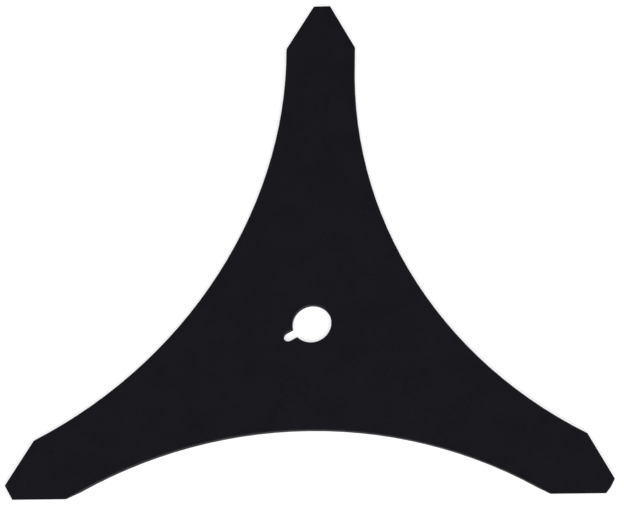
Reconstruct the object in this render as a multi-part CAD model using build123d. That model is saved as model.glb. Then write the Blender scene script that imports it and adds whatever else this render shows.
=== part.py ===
from build123d import *
import os
from math import cos, radians, sin, sqrt, tan

# A flat three-armed brush cutter blade, cut and ground from one steel plate.
# The origin is on the bore's axis, level with the lower face. +Z is square to the plate,
# and +Y runs along the arm that the pin notch points to.

# Driving dimensions, in millimetres and degrees
plate_thickness = 3.0
arm_count = 3
tip_circle_diameter = 350.0  # swept by the corners of the arms' ends
tip_flat_width = 8.5  # square-cut end of an arm
tooth_width = 36.0  # across an arm at its shoulders, where the cutting edges start
cutting_edge_slant = 30.0  # between a cutting edge and its arm's centre line
waist_radius = 56.3  # from the bore's axis to the deepest point of a scallop
bore_diameter = 20.0
pin_notch_width = 5.0
pin_notch_reach = 16.0  # from the bore's axis to the notch's round end
grind_angle = 30.0  # between a ground facet and the upper face
cutting_edge_land = 0.5  # thickness left unground along a cutting edge
rim_chamfer = 0.3  # on the rims of the scallops and of the hole

# Places on an arm, measured from the bore's axis along its centre line and to the side
half_flat = tip_flat_width / 2
half_tooth = tooth_width / 2
tip_height = sqrt((tip_circle_diameter / 2) ** 2 - half_flat**2)
shoulder_height = tip_height - (half_tooth - half_flat) / tan(radians(cutting_edge_slant))

arm_pitch = 360 / arm_count
arm_angles = [90 + arm_pitch * arm for arm in range(arm_count)]
arm_sides = (1, -1)  # left and right of the centre line


def on_arm(angle, along, left):
    """A point on the lower face, along an arm's centre line and to the left of it."""
    turn = radians(angle)
    return Vector(along * cos(turn) - left * sin(turn), along * sin(turn) + left * cos(turn))


def plate_outline():
    """Arms with slanted edges and square ends, joined by concave scallops."""
    with BuildSketch() as outline:
        with BuildLine():
            for angle in arm_angles:
                left_shoulder = on_arm(angle, shoulder_height, half_tooth)
                Polyline(
                    on_arm(angle, shoulder_height, -half_tooth),
                    on_arm(angle, tip_height, -half_flat),
                    on_arm(angle, tip_height, half_flat),
                    left_shoulder,
                )
                ThreePointArc(
                    left_shoulder,
                    on_arm(angle + arm_pitch / 2, waist_radius, 0),
                    on_arm(angle + arm_pitch, shoulder_height, -half_tooth),
                )
        make_face()
    return outline.sketch


def hole_outline():
    """The bore, open on one side into the pin notch."""
    notch_centre = pin_notch_reach - pin_notch_width / 2
    with BuildSketch() as outline:
        Circle(bore_diameter / 2)
        with Locations((0, notch_centre)):
            Circle(pin_notch_width / 2)
            Rectangle(pin_notch_width, notch_centre, align=(Align.CENTER, Align.MAX))
    return outline.sketch


def cut_plate():
    """The plate before grinding, with the rims of its scallops and its hole chamfered."""
    plate = extrude(plate_outline(), plate_thickness)
    scallop_rims = plate.faces().filter_by(Axis.Z).edges().filter_by(GeomType.CIRCLE)
    plate = chamfer(scallop_rims, rim_chamfer)
    plate -= extrude(hole_outline(), plate_thickness)
    hole_wires = [face.inner_wires()[0] for face in plate.faces().filter_by(Axis.Z)]
    hole_rims = [rim for wire in hole_wires for rim in wire.edges()]
    return chamfer(hole_rims, rim_chamfer)


def ground_away(angle, side):
    """What grinding takes off below one cutting edge, up to the land that it leaves."""
    depth = plate_thickness - cutting_edge_land
    end_corner = on_arm(angle, tip_height, side * half_flat)
    shoulder = on_arm(angle, shoulder_height, side * half_tooth)
    edge = shoulder - end_corner
    inward = Vector(0, 0, side).cross(edge)
    section_plane = Plane(origin=shoulder, x_dir=inward, z_dir=inward.cross(Vector(0, 0, 1)))
    # The facet falls from the land to the lower face, and the cut overshoots both
    slope = tan(radians(grind_angle))
    overshoot = plate_thickness
    section = Polygon(
        (-overshoot, depth + overshoot * slope),
        (depth / slope + overshoot, -overshoot * slope),
        (-overshoot, -overshoot * slope),
        align=None,
    )
    # From past the arm's end to well past the shoulder, where the facet runs out at the scallop
    return extrude(section_plane * section, 2 * edge.length, both=True)


blade = cut_plate()
for arm_angle in arm_angles:
    for arm_side in arm_sides:
        blade -= ground_away(arm_angle, arm_side)

os.makedirs("parts", exist_ok=True)
export_step(blade, "parts/blade.step")
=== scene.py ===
from math import radians

import bpy
from mathutils import Euler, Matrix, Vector

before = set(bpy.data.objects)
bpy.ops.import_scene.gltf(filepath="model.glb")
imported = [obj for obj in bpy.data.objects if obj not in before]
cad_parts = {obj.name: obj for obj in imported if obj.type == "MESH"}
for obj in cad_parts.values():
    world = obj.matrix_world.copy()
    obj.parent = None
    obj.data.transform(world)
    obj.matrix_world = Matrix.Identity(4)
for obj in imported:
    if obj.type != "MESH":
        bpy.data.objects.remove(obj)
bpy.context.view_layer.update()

# The photograph's camera, in metres and degrees. It looks down on the plain upper face.
camera_place = (-0.71085, 0.08086, 1.86625)
camera_turn = (20.4295, 8.0815, -118.2114)
camera_lens = 227.7  # millimetres, on a sensor 36 wide

# The coating: black paint over steel, a little bluer than neutral
coat_dark = (0.0047, 0.0047, 0.0074)
coat_light = (0.0072, 0.0072, 0.0110)
coat_specular = 0.15
coat_roughness = (0.36, 0.52)
facet_roughness = 0.34
wall_roughness = 0.56

# How many patches of colour and of gloss a metre of the coating has
mottle_scale = 60
grain_scale = 1200
sheen_scale = 700

# Relief under and in the coating: how high it is and how many ripples a metre has
peel_height, peel_scale = 90e-6, 650
sag_height, sag_scale = 80e-6, 70
scratch_height, scratch_scale = 40e-6, 1800
cut_height, cut_scale = 90e-6, 1100

# The soft lamps: azimuth and elevation in the part's frame, apparent size, and strength
lamps = {
    "key": (170, 50, 60, 1.9),
    "left": (235, 45, 60, 0.95),
    "right": (105, 45, 60, 0.95),
}
room_strength = (0.2, 0.05)  # just above the horizon and overhead
horizon_strength = 1.0
floor_albedo = 0.5
floor_lift = 0.6  # added to the floor for rays that see it straight or in a reflection
floor_half = 40.0
floor_height = -0.0001


class Shading:
    """One node tree, with short calls that add nodes to it and join them."""

    def __init__(self, tree):
        self.tree = tree
        tree.nodes.clear()

    def add(self, kind, settings=None, **inputs):
        """Adds a node. An input is named with _ for a space, and takes a value or another node's output."""
        made = self.tree.nodes.new("ShaderNode" + kind)
        for name, value in (settings or {}).items():
            setattr(made, name, value)
        for name, value in inputs.items():
            self.join(made.inputs[name.replace("_", " ")], value)
        return made

    def join(self, socket, value):
        if isinstance(value, bpy.types.NodeSocket):
            self.tree.links.new(value, socket)
        else:
            socket.default_value = value

    def math(self, operation, *values, clamp=False):
        made = self.add("Math", {"operation": operation, "use_clamp": clamp})
        for socket, value in zip(made.inputs, values):
            self.join(socket, value)
        return made.outputs["Value"]

    def vector(self, operation, *values):
        made = self.add("VectorMath", {"operation": operation})
        for socket, value in zip(made.inputs, values):
            self.join(socket, value)
        return made.outputs["Value" if operation == "DOT_PRODUCT" else "Vector"]

    def ramp(self, value, start, end, low=0.0, high=1.0):
        """Turns start to end into low to high, and stays level outside them."""
        made = self.add("MapRange", Value=value)
        for name, number in {"From Min": start, "From Max": end, "To Min": low, "To Max": high}.items():
            self.join(made.inputs[name], number)
        return made.outputs["Result"]

    def noise(self, place, scale, detail=2.0, roughness=0.5):
        """Noise over the surface, from about 0.3 to 0.7."""
        made = self.add("TexNoise", Vector=place, Scale=scale, Detail=detail, Roughness=roughness)
        return made.outputs["Fac"]

    def lines(self, along, scale, detail=3.0):
        """Noise that changes in one direction only, which makes straight lines across it."""
        made = self.add("TexNoise", {"noise_dimensions": "1D"}, W=along, Scale=scale, Detail=detail)
        return made.outputs["Fac"]

    def bump(self, height, distance, below=None):
        made = self.add("Bump", Height=height, Distance=distance)
        if below is not None:
            self.join(made.inputs["Normal"], below)
        return made.outputs["Normal"]


def along_edge(shading, place, normal):
    """How far a point is along the level direction of the face it is on."""
    level = shading.vector("CROSS_PRODUCT", (0, 0, 1), normal)
    unit = shading.vector("NORMALIZE", level)
    return shading.vector("DOT_PRODUCT", place, unit)


def black_coating():
    """Satin black paint that follows the steel: rolled faces, cut walls and ground facets."""
    made = bpy.data.materials.new("black_coating_satin")
    made.use_nodes = True
    s = Shading(made.node_tree)
    place = s.add("TexCoord").outputs["Object"]
    normal = s.add("NewGeometry").outputs["True Normal"]
    up = s.add("SeparateXYZ", Vector=normal).outputs["Z"]
    along = along_edge(s, place, normal)

    # Walls stand upright, and a ground facet leans at about 30 degrees below level
    wall = s.ramp(s.math("ABSOLUTE", up), 0.35, 0.15)
    facet = s.math("MULTIPLY", s.ramp(up, -0.97, -0.93), s.ramp(up, -0.75, -0.80))

    peel = s.noise(place, peel_scale)
    sag = s.noise(place, sag_scale, detail=1.0)
    mottle = s.noise(place, mottle_scale, detail=6.0, roughness=0.62)
    grain = s.noise(place, grain_scale, detail=4.0)
    sheen = s.noise(place, sheen_scale, detail=5.0, roughness=0.6)
    scratches = s.lines(along, scratch_scale, detail=5.0)
    cuts = s.lines(along, cut_scale)

    colour = s.add("Mix", {"data_type": "RGBA"})
    s.join(colour.inputs["Factor"], s.ramp(s.math("ADD", mottle, grain), 0.7, 1.3))
    s.join(colour.inputs["A"], (*coat_dark, 1))
    s.join(colour.inputs["B"], (*coat_light, 1))

    plain = s.ramp(sheen, 0.3, 0.7, *coat_roughness)
    scratched = s.math("MULTIPLY_ADD", scratches, 0.12, facet_roughness - 0.06)
    roughness = s.add("Mix", Factor=facet, A=plain, B=scratched).outputs["Result"]
    roughness = s.add("Mix", Factor=wall, A=roughness, B=wall_roughness).outputs["Result"]

    relief = s.bump(sag, sag_height)
    relief = s.bump(s.math("MULTIPLY", cuts, wall), cut_height, relief)
    relief = s.bump(s.math("MULTIPLY", scratches, facet), scratch_height, relief)
    relief = s.bump(peel, peel_height, relief)

    shader = s.add("BsdfPrincipled", Roughness=roughness, Normal=relief)
    s.join(shader.inputs["Base Color"], colour.outputs["Result"])
    shader.inputs["Specular IOR Level"].default_value = coat_specular
    s.add("OutputMaterial", Surface=shader.outputs["BSDF"])
    return made


def floor_paper():
    """White studio paper that keeps the object's shadow."""
    made = bpy.data.materials.new("floor_paper")
    made.use_nodes = True
    s = Shading(made.node_tree)
    rays = s.add("LightPath").outputs
    seen = s.math("ADD", rays["Is Camera Ray"], rays["Is Glossy Ray"], clamp=True)
    seen = s.math("ADD", seen, rays["Is Transmission Ray"], clamp=True)
    paper = s.add("BsdfDiffuse", Color=(floor_albedo, floor_albedo, floor_albedo, 1))
    lift = s.add("Emission", Strength=s.math("MULTIPLY", seen, floor_lift))
    both = s.add("AddShader")
    s.join(both.inputs[0], paper.outputs["BSDF"])
    s.join(both.inputs[1], lift.outputs["Emission"])
    s.add("OutputMaterial", Surface=both.outputs["Shader"])
    return made


def floor():
    mesh = bpy.data.meshes.new("floor")
    corners = [(-1, -1), (1, -1), (1, 1), (-1, 1)]
    mesh.from_pydata([(x * floor_half, y * floor_half, floor_height) for x, y in corners], [], [(0, 1, 2, 3)])
    mesh.materials.append(floor_paper())
    made = bpy.data.objects.new("floor", mesh)
    bpy.context.collection.objects.link(made)


def lamp(name, azimuth, elevation, size, strength):
    light = bpy.data.lights.new(name, "SUN")
    light.angle = radians(size)
    light.energy = strength
    made = bpy.data.objects.new(name, light)
    towards = Vector((1, 0, 0))
    towards.rotate(Euler((0, -radians(elevation), radians(azimuth))))
    made.rotation_euler = towards.to_track_quat("Z", "Y").to_euler()
    bpy.context.collection.objects.link(made)


def room():
    """A dim room with a white horizon, which only level views see."""
    made = bpy.data.worlds.new("room")
    made.use_nodes = True
    s = Shading(made.node_tree)
    direction = s.add("TexCoord").outputs["Generated"]
    up = s.add("SeparateXYZ", Vector=direction).outputs["Z"]
    horizon = s.ramp(up, 0.06, 0.14, horizon_strength, 0)
    strength = s.math("MAXIMUM", horizon, s.ramp(up, 0.1, 0.95, *room_strength))
    light = s.add("Background", Color=(1, 1, 1, 1), Strength=strength)
    s.add("OutputWorld", Surface=light.outputs["Background"])
    bpy.context.scene.world = made


def camera():
    lens = bpy.data.cameras.new("camera")
    lens.sensor_width = 36
    lens.lens = camera_lens
    made = bpy.data.objects.new("camera", lens)
    made.location = camera_place
    made.rotation_euler = [radians(turn) for turn in camera_turn]
    bpy.context.collection.objects.link(made)
    bpy.context.scene.camera = made


coating = black_coating()
for material_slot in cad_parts["blade"].material_slots:
    material_slot.material = coating
floor()
for name, settings in lamps.items():
    lamp(name, *settings)
room()
camera()
bpy.context.scene.view_settings.view_transform = "Standard"
